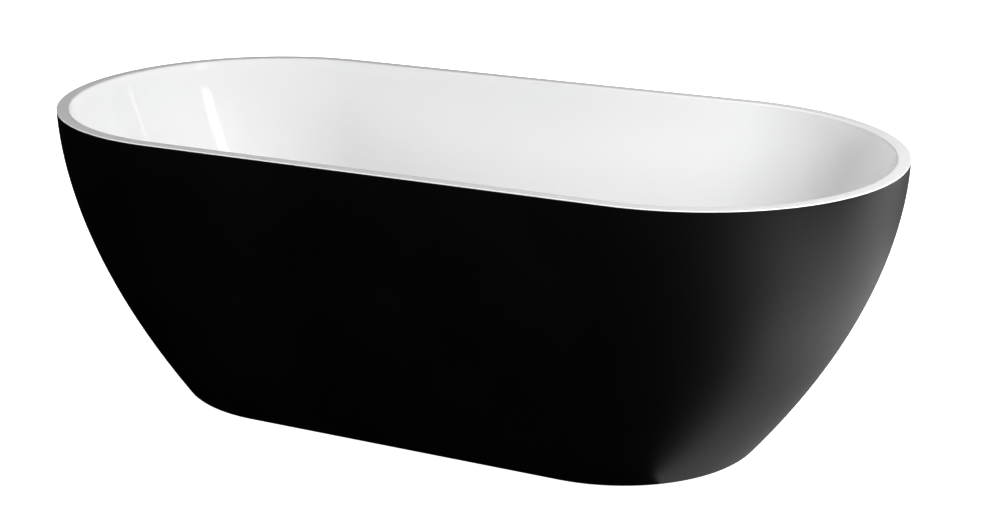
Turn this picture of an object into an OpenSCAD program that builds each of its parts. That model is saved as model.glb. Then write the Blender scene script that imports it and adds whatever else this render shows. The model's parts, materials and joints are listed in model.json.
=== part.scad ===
// Freestanding double-skinned oval bathtub: a white basin inside a dark flared outer shell,
// standing on a steel frame with screw feet, with a push-to-open waste, a slot overflow and a low trap.
// Millimetres. +X runs along the tub, +Z up. The origin is on the floor, under the middle of the tub.

/* [Outer shell] */
// Length of the rim, end to end
tub_l = 1700; // [1660:10:1780]
// Width of the rim, side to side
tub_w = 800; // [780:10:840]
// Height of the rim above the floor
tub_h = 570; // [570:5:600]
// Length of the outer shell at its foot
foot_l = 1210; // [1190:10:1250]
// Width of the outer shell at its foot
foot_w = 560; // [550:10:600]
// Flare of the end walls: 1 is a straight slope, and higher is rounder
end_flare = 1.85; // [1.7:0.05:2]
// Flare of the side walls: 1 is a straight slope, and higher is rounder
side_flare = 2; // [1.8:0.05:2.2]
// Thickness of the outer shell, measured level
skin_t = 5; // [4:0.5:6]
// Gap between the outer shell and the floor
skirt_gap = 3; // [2:0.5:5]

/* [Basin] */
// Width of the flat top of the rim
rim_w = 21; // [20:1:24]
// Thickness of the basin's wall
basin_t = 5; // [4:0.5:6]
// Depth of the basin, from the rim to the floor of the bath
basin_depth = 446; // [430:2:446]
// Length of the flat floor of the bath
flat_l = 960; // [920:10:980]
// Width of the flat floor of the bath
flat_w = 300; // [290:10:320]

/* [Frame and feet] */
// Side of the square steel tube
tube_w = 25; // [25:1:28]
// Wall of the square steel tube
tube_t = 1.5; // [1:0.25:2]
// Thickness of the reinforcing board under the bath
board_t = 16; // [14:1:18]
// Diameter of the foot stud's thread
stud_d = 12; // [10:1:12]
// Diameter of a foot pad
pad_d = 50; // [40:1:56]

/* [Waste and overflow] */
// Diameter of the waste flange
flange_d = 80; // [70:1:82]
// Height of the overflow slot above the floor
overflow_z = 500; // [498:1:502]
// Diameter of the waste pipe that the outlet socket takes
pipe_d = 40; // [40:1:41]

/* [Hidden] */
$fn = 48;

// ---- Rim and joint between the two skins ----
lip_t = 2;          // the basin's edge laps over the top of the outer shell by this thickness
rim_r_out = 1.5;    // rounding of the rim's outer edge
rim_r_in = 4;       // rounding of the rim's inner edge
bond_w = 12;        // width of the outer shell's bonding flange, under the rim
bond_t = 4;         // thickness of that flange
bond_play = 0.3;    // room for adhesive between the two skins' edges
toe_w = 30;         // width of the outer shell's flange at the floor
toe_t = 5;          // thickness of that flange
gap = 0.1;          // play between parts that screw or slide together

// ---- Basin section: a superellipse from the rim to the flat floor ----
wall_power = 1.3;   // how the wall leaves the rim
cove_power = 1.85;  // how it runs into the floor
floor_fall = 4;     // fall of the floor towards the waste
recess = 4;         // depth of the seat that the waste flange lies in
seat_r = 43;
hole_r = 26;
floor_z = tub_h - basin_depth;
recess_z = floor_z - floor_fall - recess;
under_z = floor_z - floor_fall - basin_t;      // flat underside of the basin's floor
boss_z = recess_z - basin_t;                   // underside of the waste seat
basin_l = tub_l - 2 * (rim_w + rim_r_in);
basin_w = tub_w - 2 * (rim_w + rim_r_in);

// ---- Outlines: a stadium with round ends, at every height ----
end_steps = 30;
side_steps = 8;
RING = concat(
  [for (i = [0 : end_steps]) [1, -90 + 180 * i / end_steps]],
  [for (i = [1 : side_steps - 1]) [1 - 2 * i / side_steps, 90]],
  [for (i = [0 : end_steps]) [-1, 90 + 180 * i / end_steps]],
  [for (i = [1 : side_steps - 1]) [-1 + 2 * i / side_steps, 270]]
);
function stadium(l, w, z) = [for (k = RING)
  [k[0] * (l - w) / 2 + w / 2 * cos(k[1]), w / 2 * sin(k[1]), z]];
function round_ring(r, z) = [for (p = stadium(flat_l, flat_w, 0))
  let (a = atan2(p.y, p.x)) [r * cos(a), r * sin(a), z]];
function mix_rings(a, b, v) = [for (i = [0 : len(a) - 1]) a[i] * (1 - v) + b[i] * v];

// A ring-shaped solid through closed outlines, each joined to the next and the last to the first.
module loft_loop(rings) {
  n = len(rings[0]);
  m = len(rings);
  polyhedron(
    points = [for (r = rings) each r],
    faces = [for (i = [0 : m - 1], j = [0 : n - 1])
      let (a = i * n, b = (i + 1) % m * n, k = (j + 1) % n)
      each [[a + j, b + j, b + k], [a + j, b + k, a + k]]]
  );
}

// ---- Outer shell ----
skin_top = tub_h - lip_t;
function rise(z) = (z - skirt_gap) / (skin_top - skirt_gap);
function skin_l(z) = foot_l + (tub_l - foot_l) * (1 - pow(1 - rise(z), end_flare));
function skin_w(z) = foot_w + (tub_w - foot_w) * (1 - pow(1 - rise(z), side_flare));
function skin_ring(z, inset) = stadium(skin_l(z) - 2 * inset, skin_w(z) - 2 * inset, z);

skin_levels = 14;
bond_top = tub_h - basin_t;
bond_low = bond_top - bond_t;
toe_top = skirt_gap + toe_t;

module outer_skin() {
  loft_loop(concat(
    [for (i = [0 : skin_levels]) skin_ring(skirt_gap + (skin_top - skirt_gap) * i / skin_levels, 0)],
    [skin_ring(skin_top, skin_t), skin_ring(bond_top, skin_t), skin_ring(bond_top, skin_t + bond_w),
     skin_ring(bond_low, skin_t + bond_w)],
    [for (i = [skin_levels : -1 : 0]) skin_ring(toe_top + (bond_low - toe_top) * i / skin_levels, skin_t)],
    [skin_ring(toe_top, toe_w), skin_ring(skirt_gap, toe_w)]
  ));
}
module outer_shell() {
  color([0.03, 0.03, 0.032])
    difference() {
      outer_skin();
      for (x = [-1, 1], y = [-1, 1])
        translate([x * bar_x, y * toe_screw_y, skirt_gap - 1]) cylinder(r = screw_r + gap, h = toe_t + 2, $fn = 16);
    }
}

// ---- Basin ----
// Angle a runs from 0 at the rim to 90 at the floor; grow moves from the wet face to the back.
function cove(a, flat, rim) = flat + (rim - flat) * pow(cos(a), 2 / cove_power);
function drop(a) = pow(sin(a), 2 / wall_power);
function wet_ring(a) = stadium(cove(a, flat_l, basin_l), cove(a, flat_w, basin_w),
  tub_h - rim_r_in - (basin_depth - rim_r_in) * drop(a));
function back_ring(a) = stadium(cove(a, flat_l, basin_l) + 2 * basin_t,
  cove(a, flat_w, basin_w) + 2 * basin_t, bond_top - (bond_top - under_z) * drop(a));
// Half width of the wet face and of the back of the wall, at a height.
function half_at(u, flat, rim) = (flat + (rim - flat) * pow(1 - pow(u, wall_power), 1 / cove_power)) / 2;
function wet_half(z) = half_at((tub_h - rim_r_in - z) / (basin_depth - rim_r_in), flat_w, basin_w);
function back_half(z) = half_at((bond_top - z) / (bond_top - under_z), flat_w, basin_w) + basin_t;
function rim_ring(inset, z) = stadium(tub_l - 2 * inset, tub_w - 2 * inset, z);

wall_levels = 18;
rim_steps = 4;

module basin_skin() {
  floor_wet = wet_ring(90);
  floor_back = back_ring(90);
  loft_loop(concat(
    [round_ring(hole_r, boss_z), round_ring(seat_r + basin_t, boss_z), round_ring(seat_r + basin_t, under_z)],
    [mix_rings(round_ring(seat_r + basin_t, under_z), floor_back, 0.5)],
    [for (i = [wall_levels : -1 : 0]) back_ring(90 * i / wall_levels)],
    [rim_ring(skin_t + bond_play, bond_top), rim_ring(skin_t + bond_play, skin_top), rim_ring(0, skin_top)],
    [for (i = [0 : rim_steps]) let (a = 90 * i / rim_steps)
      rim_ring(rim_r_out * (1 - cos(a)), tub_h - rim_r_out * (1 - sin(a)))],
    [for (i = [0 : rim_steps - 1]) let (a = 90 * i / rim_steps)
      rim_ring(rim_w + rim_r_in * sin(a), tub_h - rim_r_in * (1 - cos(a)))],
    [for (i = [0 : wall_levels]) wet_ring(90 * i / wall_levels)],
    [for (v = [0.35, 0.7]) mix_rings(floor_wet, round_ring(seat_r + 3, floor_z - floor_fall), v)],
    [round_ring(seat_r + 3, floor_z - floor_fall), round_ring(seat_r, recess_z), round_ring(hole_r, recess_z)]
  ));
}

module inner_shell() {
  color([0.93, 0.93, 0.92])
    difference() {
      basin_skin();
      at_overflow() translate([0, 0, -15]) linear_extrude(30) slot_shape(cut_l, cut_h);
    }
}

// ---- Overflow, in the middle of the front wall ----
slot_l = 60;
slot_h = 10;
cut_l = 90;                     // opening in the basin's wall
cut_h = 15;
trim_l = 104;
trim_h = 28;
screw_x = 38;
tilt = atan((wet_half(overflow_z + 10) - wet_half(overflow_z - 10)) / 20);
wall_back = -5.7;                // plane just behind the wall, from the wet face
neck_z = overflow_z - 26;       // top of the spigot
hose_top = overflow_z - 34;     // top of the hose
spigot_r = 9.7;
hose_r = 12.5;
screw_r = 2;
tee_inlet_z = 85;               // axis of the overflow's way into the waste tee
function gap_y(z) = -(back_half(z) + skin_w(z) / 2 - skin_t) / 2;    // middle of the space between the skins
neck_lean = atan((gap_y(neck_z - 40) - gap_y(neck_z)) / 40);

// Turns X along the wall, Y up the wall and Z out into the bath.
module at_overflow() {
  translate([0, -wet_half(overflow_z), overflow_z]) rotate([90 - tilt, 0, 180]) children();
}
module slot_shape(l, h) {
  square([l - h, h], center = true);
  for (s = [-1, 1]) translate([s * (l - h) / 2, 0]) circle(d = h);
}

module overflow_trim() {
  color([0.8, 0.81, 0.83])
    at_overflow() difference() {
      union() {
        translate([0, 0, 0.5]) linear_extrude(2.5) slot_shape(trim_l, trim_h);
        translate([0, 0, wall_back - 3]) linear_extrude(6 - wall_back) slot_shape(slot_l + 3, slot_h + 3);
      }
      translate([0, 0, wall_back - 4]) linear_extrude(20) slot_shape(slot_l, slot_h);
      for (s = [-1, 1]) translate([s * screw_x, 0, -1]) cylinder(r = screw_r + gap, h = 6);
    }
}

module overflow_gasket() {
  color([0.12, 0.12, 0.12])
    at_overflow() translate([0, 0, wall_back - 2]) linear_extrude(2) difference() {
      slot_shape(trim_l, trim_h + 4);
      slot_shape(cut_l + 2, cut_h + 2);
    }
}

hopper_back = -20;
plate_back = wall_back - 5.2;
module overflow_body() {
  color([0.85, 0.85, 0.84])
    difference() {
      union() {
        at_overflow() {
          translate([0, 0, plate_back]) linear_extrude(3) slot_shape(trim_l + 4, trim_h + 8);
          translate([0, 0, hopper_back]) linear_extrude(plate_back + 1 - hopper_back)
            slot_shape(slot_l + 24, trim_h + 2);
        }
        translate([0, gap_y(neck_z), neck_z]) rotate([neck_lean, 0, 0]) translate([0, 0, -36])
          cylinder(r = spigot_r, h = 54);
      }
      at_overflow() {
        translate([0, 0, hopper_back + 2]) linear_extrude(-hopper_back) slot_shape(slot_l + 6, trim_h - 4);
        for (s = [-1, 1]) translate([s * screw_x, 0, hopper_back + 5]) cylinder(r = screw_r + gap, h = 15);
        translate([0, 0, plate_back + 3]) linear_extrude(30) square(200, center = true);
      }
      translate([0, gap_y(neck_z), neck_z]) rotate([neck_lean, 0, 0]) translate([0, 0, -37])
        cylinder(r = spigot_r - 2, h = 50);
    }
}

module overflow_screws() {
  color([0.75, 0.76, 0.78])
    for (s = [-1, 1]) at_overflow() translate([s * screw_x, 0, 0]) {
      translate([0, 0, hopper_back + 7]) cylinder(r = screw_r, h = -4 - hopper_back);
      translate([0, 0, 3]) cylinder(r1 = 3.8, r2 = 2.6, h = 1.6);
    }
}

// The hose's centre line: down the middle of the space between the skins, then under the frame to the tee.
HOSE = concat(
  [for (z = [hose_top : -30 : hose_top - 330]) [gap_y(z), z]],
  [[-244, 108], [-219, 84], [-188, 65], [-153, 54], [-121, 57], [-96, 69], [-77, 80],
   [-60, tee_inlet_z], [-38, tee_inlet_z]]
);
hose_wall = 2;
hose_sides = 12;
function hose_dir(i) = let (a = HOSE[max(i - 1, 0)], b = HOSE[min(i + 1, len(HOSE) - 1)], d = b - a)
  d / norm(d);
function hose_ring(i, r) = let (d = hose_dir(i), c = HOSE[i])
  [for (k = [0 : hose_sides - 1]) let (a = 360 * k / hose_sides)
    [r * cos(a), c[0] - d[1] * r * sin(a), c[1] + d[0] * r * sin(a)]];

module overflow_hose() {
  last = len(HOSE) - 1;
  color([0.8, 0.8, 0.79])
    loft_loop(concat(
      [for (i = [last : -1 : 0]) hose_ring(i, hose_r)],
      [for (i = [0 : last]) hose_ring(i, hose_r - hose_wall)]
    ));
}

// A band round each end of the hose, with its tightening screw in a housing.
module hose_clip() {
  difference() {
    cylinder(r = hose_r + 1, h = 9, center = true);
    cylinder(r = hose_r + gap, h = 10, center = true);
  }
  translate([hose_r + 0.4, -4, -4.5]) cube([5, 8, 9]);
  translate([hose_r + 2.9, 3.9, 0]) rotate([-90, 0, 0]) cylinder(r = 3, h = 4, $fn = 6);
}
module hose_clips() {
  color([0.7, 0.71, 0.72]) {
    translate([0, gap_y(hose_top - 10), hose_top - 10]) rotate([neck_lean, 0, 0]) hose_clip();
    translate([0, -46, tee_inlet_z]) rotate([90, 0, 0]) hose_clip();
  }
}

// ---- Board and frame ----
board_l = 900;
board_w = 290;
board_low = under_z - board_t;
tube_low = board_low - tube_w;
rail_y = 132;
bar_x = 430;
bar_half = 226;
mid_x = 160;
foot_y = 184;

module base_board() {
  color([0.72, 0.56, 0.37])
    translate([0, 0, board_low]) difference() {
      linear_extrude(board_t) slot_square(board_l, board_w, 30);
      translate([0, 0, -1]) cylinder(r = 62, h = board_t + 2);
      for (p = BOARD_SCREWS) translate([p.x, p.y, -1]) cylinder(r = screw_r + gap, h = board_t - 3);
    }
}
module slot_square(l, w, r) {
  square([l, w - 2 * r], center = true);
  square([l - 2 * r, w], center = true);
  for (x = [-1, 1], y = [-1, 1]) translate([x * (l / 2 - r), y * (w / 2 - r)]) circle(r = r);
}

// A length of square tube along X, its axis at the origin.
module tube_x(l) {
  rotate([90, 0, 90]) translate([0, 0, -l / 2]) linear_extrude(l) difference() {
    square(tube_w, center = true);
    square(tube_w - 2 * tube_t, center = true);
  }
}
tube_mid = tube_low + tube_w / 2;
rail_l = 2 * bar_x - tube_w;
BOARD_SCREWS = [for (x = [-360, -240, 240, 360], y = [-1, 1]) [x, y * rail_y]];

module frame_rail(side) {
  color([0.62, 0.64, 0.66])
    difference() {
      translate([0, side * rail_y, tube_mid]) tube_x(rail_l);
      for (p = BOARD_SCREWS) if (p.y * side > 0)
        translate([p.x, p.y, tube_low - 1]) cylinder(r = screw_r + gap, h = tube_w + 2);
    }
}
module end_crossbar(side) {
  color([0.62, 0.64, 0.66])
    difference() {
      translate([side * bar_x, 0, tube_mid]) rotate([0, 0, 90]) tube_x(2 * bar_half);
      for (y = [-1, 1]) {
        translate([side * bar_x, y * foot_y, tube_low - 1]) cylinder(r = stud_d / 2 + 0.8, h = tube_w + 2);
        translate([side * bar_x, y * tab_y, tube_low - 1]) cylinder(r = screw_r + gap, h = tube_t + 2);
      }
    }
}
module mid_crossbar(side) {
  color([0.62, 0.64, 0.66])
    translate([side * mid_x, 0, tube_mid]) rotate([0, 0, 90]) tube_x(2 * rail_y - tube_w);
}

module board_screws() {
  color([0.75, 0.7, 0.5])
    for (p = BOARD_SCREWS) translate([p.x, p.y, tube_low]) {
      translate([0, 0, -3]) cylinder(r1 = 3, r2 = 4.8, h = 3);
      cylinder(r = screw_r, h = tube_w + board_t - 6);
    }
}

// ---- Brackets that hold the outer shell's toe to the frame ----
bracket_t = 3;
bracket_w = 30;
tab_low_y = 202;       // near end of the tab under the crossbar
tab_y = 212;           // its screw
upright_y = 221;       // inside face of the upright
toe_screw_y = 237;     // the screw through the toe
toe_end_y = 246;
module skirt_brackets() {
  color([0.6, 0.62, 0.64])
    for (x = [-1, 1], y = [-1, 1]) translate([x * bar_x, 0, 0]) rotate([0, 0, y > 0 ? 0 : 180])
      difference() {
        translate([-bracket_w / 2, 0, 0]) {
          translate([0, tab_low_y, tube_low - bracket_t])
            cube([bracket_w, upright_y + bracket_t - tab_low_y, bracket_t]);
          translate([0, upright_y, toe_top]) cube([bracket_w, bracket_t, tube_low - toe_top]);
          translate([0, upright_y, toe_top]) cube([bracket_w, toe_end_y - upright_y, bracket_t]);
        }
        translate([0, tab_y, tube_low - bracket_t - 1]) cylinder(r = screw_r + gap, h = bracket_t + 2);
        translate([0, toe_screw_y, toe_top - 1]) cylinder(r = screw_r + gap, h = bracket_t + 2);
      }
}
module bracket_screws() {
  color([0.75, 0.7, 0.5])
    for (x = [-1, 1], y = [-1, 1]) translate([x * bar_x, 0, 0]) {
      translate([0, y * tab_y, tube_low - bracket_t]) {
        cylinder(r = screw_r, h = bracket_t + 5);
        translate([0, 0, -2.6]) cylinder(r1 = 3.2, r2 = 4.4, h = 2.6);
      }
      translate([0, y * toe_screw_y, toe_top + bracket_t]) {
        translate([0, 0, -bracket_t - toe_t + 0.5]) cylinder(r = screw_r, h = bracket_t + toe_t);
        cylinder(r1 = 4.4, r2 = 3.2, h = 2.6);
      }
    }
}

// ---- Screw feet ----
FEET = [for (x = [-1, 1], y = [-1, 1]) [x * bar_x, y * foot_y]];
pad_h = 12;
pad_socket_r = 5.2;
nut_af = 19;
nut_h = 10;
module hex_nut(z) {
  for (p = FEET) translate([p.x, p.y, z]) difference() {
    cylinder(d = nut_af / cos(30), h = nut_h, $fn = 6);
    translate([0, 0, -1]) cylinder(r = stud_d / 2 + gap, h = nut_h + 2);
  }
}
module foot_weld_nuts() {
  color([0.6, 0.61, 0.62]) hex_nut(tube_low - nut_h);
}
module foot_lock_nuts() {
  color([0.7, 0.71, 0.72]) hex_nut(tube_low - 2 * nut_h);
}
module foot_pad(i) {
  color([0.09, 0.09, 0.09])
    translate([FEET[i].x, FEET[i].y, 0]) rotate_extrude() polygon([
      [0, 0], [pad_d / 2 - 1, 0], [pad_d / 2, 1], [pad_d / 2, 4], [pad_d / 2 - 4, 6.5],
      [15, 8], [13.5, pad_h], [pad_socket_r, pad_h], [pad_socket_r, 4], [0, 4]
    ]);
}
module foot_stud(i) {
  top = tube_low + tube_w + 7;
  color([0.72, 0.73, 0.75])
    translate([FEET[i].x, FEET[i].y, 0]) {
      translate([0, 0, 4.2]) cylinder(r = 5, h = pad_h - 4);
      translate([0, 0, pad_h + gap]) cylinder(d = 20, h = 6, $fn = 6);
      translate([0, 0, pad_h + 6]) cylinder(d = stud_d, h = top - pad_h - 7);
      translate([0, 0, top - 1]) cylinder(d1 = stud_d, d2 = stud_d - 2, h = 1);
    }
}

// ---- Waste ----
washer_t = 1;
flange_z = recess_z + washer_t;       // underside of the waste flange
throat_r = 23.9;                      // outside of the flange's threaded throat
throat_in = 21;
throat_low = flange_z - 30;
tee_top = boss_z - 3;                 // the bottom washer is 3 thick
tee_low = 71;
tail_r = 20;
tail_low = 24;

module waste_flange() {
  z = flange_z;
  color([0.8, 0.81, 0.83])
    difference() {
      union() {
        rotate_extrude() polygon([
          [throat_in, throat_low], [throat_r, throat_low], [throat_r, z], [flange_d / 2, z],
          [flange_d / 2, z + 0.8], [flange_d / 2 - 1.5, z + 2.2], [29, z + 3], [27, z + 2.4],
          [22.5, z - 2], [throat_in, z - 5]
        ]);
        for (a = [0, 60, 120]) rotate([0, 0, a]) translate([-22, -1.5, z - 24]) cube([44, 3, 5]);
        translate([0, 0, z - 25]) cylinder(r = 8, h = 9);
      }
      translate([0, 0, z - 26]) cylinder(r = 5 + gap, h = 12);
    }
}
module waste_washer_top() {
  color([0.9, 0.9, 0.88])
    translate([0, 0, recess_z]) difference() {
      cylinder(r = flange_d / 2 - 2, h = washer_t);
      translate([0, 0, -1]) cylinder(r = throat_r + 0.3, h = washer_t + 2);
    }
}
module waste_washer_bottom() {
  color([0.1, 0.1, 0.1])
    translate([0, 0, tee_top]) difference() {
      cylinder(r = 37, h = boss_z - tee_top);
      translate([0, 0, -1]) cylinder(r = throat_r + 0.3, h = boss_z - tee_top + 2);
    }
}
module waste_tee() {
  color([0.88, 0.88, 0.87])
    difference() {
      union() {
        rotate_extrude() polygon([
          [0, tail_low], [tail_r, tail_low], [tail_r, tee_low], [29, tee_low + 5], [29, tee_top - 8],
          [37, tee_top - 5], [37, tee_top], [0, tee_top]
        ]);
        translate([0, -33, tee_inlet_z]) rotate([-90, 0, 0]) cylinder(r = 13, h = 20);
        translate([0, -56, tee_inlet_z]) rotate([-90, 0, 0]) cylinder(r = spigot_r, h = 30);
      }
      translate([0, 0, throat_low - 2]) cylinder(r = throat_r + gap, h = 60);
      translate([0, 0, tail_low - 1]) cylinder(r = tail_r - 2.5, h = 80);
      translate([0, -57, tee_inlet_z]) rotate([-90, 0, 0]) cylinder(r = spigot_r - 2, h = 50);
    }
}

// ---- Push-to-open plug: closed at rest, it rises plug_travel when pushed ----
cap_r = 31;
cap_z = flange_z + 4.4;
cap_dome = 3;
module plug_cap() {
  color([0.8, 0.81, 0.83])
    rotate_extrude() polygon(concat(
      [[3.2, cap_z], [3.2, cap_z - 6], [6, cap_z - 6], [6, cap_z], [cap_r - 1, cap_z], [cap_r, cap_z + 0.8]],
      [for (i = [0 : 8]) let (r = (cap_r - 0.6) * (1 - i / 8))
        [r, cap_z + 1.6 + cap_dome * (1 - pow(r / cap_r, 2))]],
      [[0, cap_z + 1], [3.2, cap_z + 1]]
    ));
}
module plug_seal() {
  color([0.1, 0.1, 0.1])
    rotate_extrude() polygon([
      [6.1, cap_z - 1.7], [27, cap_z - 1.7], [27.4, cap_z - 1.2], [26, cap_z - gap], [6.1, cap_z - gap]
    ]);
}
plunger_low = flange_z - 32;
spring_low = flange_z - 41;
module plug_plunger() {
  color([0.78, 0.68, 0.4])
    translate([0, 0, plunger_low]) cylinder(r = 3.1, h = cap_z + 0.9 - plunger_low);
}
module click_cartridge() {
  color([0.78, 0.68, 0.4])
    difference() {
      union() {
        translate([0, 0, spring_low - 1.5]) cylinder(r = 5, h = flange_z - 16 - spring_low + 1.5);
        translate([0, 0, flange_z - 16]) cylinder(r = 7.5, h = 2, $fn = 6);
      }
      translate([0, 0, spring_low]) cylinder(r = 3.4, h = 30);
    }
}
coil_r = 2.5;
wire_r = 0.4;
coil_turns = 6;
coil_steps = 14;
coil_sides = 6;
module click_spring() {
  steps = coil_turns * coil_steps;
  low = spring_low + wire_r + 0.1;
  high = plunger_low - wire_r - 0.1;
  points = [for (i = [0 : steps], k = [0 : coil_sides - 1])
    let (t = 360 * i / coil_steps, a = 360 * k / coil_sides, r = coil_r + wire_r * cos(a))
    [r * cos(t), r * sin(t), low + (high - low) * i / steps + wire_r * sin(a)]];
  color([0.7, 0.71, 0.72])
    polyhedron(points = points, faces = concat(
      [[for (k = [0 : coil_sides - 1]) k]],
      [[for (k = [coil_sides - 1 : -1 : 0]) steps * coil_sides + k]],
      [for (i = [0 : steps - 1], k = [0 : coil_sides - 1])
        let (a = i * coil_sides, b = a + coil_sides, n = (k + 1) % coil_sides)
        each [[a + k, b + k, b + n], [a + k, b + n, a + n]]]
    ));
}

// ---- Low trap: a pot round the tee's tail, with its outlet on +X turned down to the floor ----
pot_r = 44;
pot_low = 8;
pot_top = 60;
outlet_z = 40;
spout_r = 20;
spout_end = 66;
elbow_x = 96;
bend_r = 18;
socket_r = pipe_d / 2 + 0.15;
socket_top = 24.5;
socket_low = 2.5;
collar_top = pot_top + 7;

module trap_body() {
  color([0.88, 0.88, 0.87])
    difference() {
      union() {
        rotate_extrude() polygon([
          [0, pot_low], [pot_r - 3, pot_low], [pot_r, pot_low + 3], [pot_r, pot_top - 4],
          [pot_r - 4, pot_top], [25, pot_top], [25, collar_top], [0, collar_top]
        ]);
        translate([pot_r - 8, 0, outlet_z]) rotate([0, 90, 0]) cylinder(r = spout_r, h = spout_end - pot_r + 8);
      }
      translate([0, 0, pot_low + 3]) cylinder(r = pot_r - 3, h = pot_top - pot_low - 6);
      translate([0, 0, pot_low + 3]) cylinder(r = tail_r + 0.3, h = 80);
      translate([pot_r - 12, 0, outlet_z]) rotate([0, 90, 0]) cylinder(r = spout_r - 3, h = 60);
    }
}
module union_nut(r_thread, r_tail, h, lip) {
  difference() {
    cylinder(r = r_thread + 5, h = h, $fn = 8);
    translate([0, 0, -1]) cylinder(r = r_thread, h = h - lip + 1);
    translate([0, 0, -1]) cylinder(r = r_tail, h = h + 2);
  }
}
module trap_inlet_nut() {
  color([0.8, 0.8, 0.79]) translate([0, 0, pot_top]) union_nut(25 + gap, tail_r + 0.3, 10.5, 2);
}
module trap_outlet_nut() {
  color([0.8, 0.8, 0.79])
    translate([spout_end - 14, 0, outlet_z]) rotate([0, 90, 0]) union_nut(spout_r + gap, 17.2, 20, 3);
}
module ring_washer(r_in, r_out, h) {
  difference() {
    cylinder(r = r_out, h = h);
    translate([0, 0, -1]) cylinder(r = r_in, h = h + 2);
  }
}
module trap_washers() {
  color([0.1, 0.1, 0.1]) {
    translate([0, 0, collar_top]) ring_washer(tail_r + 0.3, 24.8, 1.5);
    translate([spout_end, 0, outlet_z]) rotate([0, 90, 0]) ring_washer(14.2, spout_r - 0.2, 1.5);
  }
}
module elbow_run(r) {
  translate([spout_end + 1.5, 0, outlet_z]) rotate([0, 90, 0]) cylinder(r = r, h = elbow_x - spout_end - 1.5);
  translate([elbow_x, 0, outlet_z - bend_r]) rotate([90, 0, 0]) rotate_extrude(angle = 90)
    translate([bend_r, 0]) circle(r = r);
}
module outlet_elbow() {
  color([0.88, 0.88, 0.87])
    difference() {
      union() {
        elbow_run(17);
        translate([spout_end + 1.5, 0, outlet_z]) rotate([0, 90, 0]) cylinder(r = spout_r - 0.3, h = 1.4);
        translate([elbow_x + bend_r, 0, socket_low]) cylinder(r = socket_r + 3, h = socket_top - socket_low);
      }
      elbow_run(14.2);
      translate([elbow_x + bend_r, 0, socket_low - 1]) cylinder(r = socket_r, h = socket_top - socket_low - 1);
    }
}

outer_shell();
inner_shell();
base_board();
frame_rail(-1);  // frame_rail_front
frame_rail(1);  // frame_rail_back
end_crossbar(-1);  // end_crossbar_left
end_crossbar(1);  // end_crossbar_right
mid_crossbar(-1);  // mid_crossbar_left
mid_crossbar(1);  // mid_crossbar_right
board_screws();
skirt_brackets();
bracket_screws();
foot_weld_nuts();
foot_lock_nuts();
foot_pad(0);  // foot_pad_1
foot_pad(1);  // foot_pad_2
foot_pad(2);  // foot_pad_3
foot_pad(3);  // foot_pad_4
foot_stud(0);  // foot_stud_1
foot_stud(1);  // foot_stud_2
foot_stud(2);  // foot_stud_3
foot_stud(3);  // foot_stud_4
waste_flange();
waste_washer_top();
waste_washer_bottom();
waste_tee();
plug_cap();
plug_seal();
plug_plunger();
click_cartridge();
click_spring();
overflow_trim();
overflow_gasket();
overflow_body();
overflow_screws();
overflow_hose();
hose_clips();
trap_body();
trap_inlet_nut();
trap_outlet_nut();
trap_washers();
outlet_elbow();
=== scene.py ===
import json
import math

import bmesh
import bpy
import numpy as np
from mathutils import Matrix, Vector


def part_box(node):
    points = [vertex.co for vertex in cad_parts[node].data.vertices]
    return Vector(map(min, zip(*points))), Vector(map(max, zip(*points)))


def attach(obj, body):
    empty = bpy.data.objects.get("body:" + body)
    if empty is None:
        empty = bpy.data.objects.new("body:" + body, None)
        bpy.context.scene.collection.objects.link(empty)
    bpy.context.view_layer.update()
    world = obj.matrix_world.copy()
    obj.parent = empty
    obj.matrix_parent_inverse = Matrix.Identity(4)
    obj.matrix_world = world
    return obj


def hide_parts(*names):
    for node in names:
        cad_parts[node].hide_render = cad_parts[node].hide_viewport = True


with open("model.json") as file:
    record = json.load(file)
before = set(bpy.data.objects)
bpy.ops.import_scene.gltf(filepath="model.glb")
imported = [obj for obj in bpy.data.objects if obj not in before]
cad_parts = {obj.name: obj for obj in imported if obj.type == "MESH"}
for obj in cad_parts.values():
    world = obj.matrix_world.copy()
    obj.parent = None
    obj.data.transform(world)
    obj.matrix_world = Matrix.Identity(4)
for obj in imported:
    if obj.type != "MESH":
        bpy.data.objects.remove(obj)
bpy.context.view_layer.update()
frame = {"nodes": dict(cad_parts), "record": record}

scene = bpy.context.scene
scene.view_settings.view_transform = "Standard"
scene.view_settings.look = "None"

# ---------------------------------------------------------------- camera
# Fitted to the photograph's rim and foot outlines: 24.9 degrees round to the right, 18.5 degrees down.
YAW, PITCH = 0.4351, 0.3232
CAMERA_X, CAMERA_Y, CAMERA_ABOVE_FOOT = 1.4962, -3.0477, 1.4216
cam_data = bpy.data.cameras.new("camera")
cam_data.sensor_width = 36.0
cam_data.lens = 65.82
cam_data.clip_end = 60.0
cam = bpy.data.objects.new("camera", cam_data)
scene.collection.objects.link(cam)
skin_low, skin_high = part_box("outer_shell")
cam.location = (CAMERA_X, CAMERA_Y, CAMERA_ABOVE_FOOT + skin_low.z)
cam.rotation_euler = (math.pi / 2 - PITCH, 0, YAW)
scene.camera = cam


# ---------------------------------------------------------------- materials
ACRYLIC_IOR = 1.49


def nodes_of(name):
    """A new material with a principled shader, and the object coordinates that its noises use."""
    m = bpy.data.materials.new(name)
    m.use_nodes = True
    nt = m.node_tree
    nt.nodes.clear()
    out = nt.nodes.new("ShaderNodeOutputMaterial")
    bsdf = nt.nodes.new("ShaderNodeBsdfPrincipled")
    nt.links.new(bsdf.outputs[0], out.inputs[0])
    coord = nt.nodes.new("ShaderNodeTexCoord")
    return m, nt, bsdf, coord.outputs["Object"]


def stretched(nt, vector, scale):
    n = nt.nodes.new("ShaderNodeMapping")
    n.inputs["Scale"].default_value = scale
    nt.links.new(vector, n.inputs["Vector"])
    return n.outputs[0]


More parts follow.
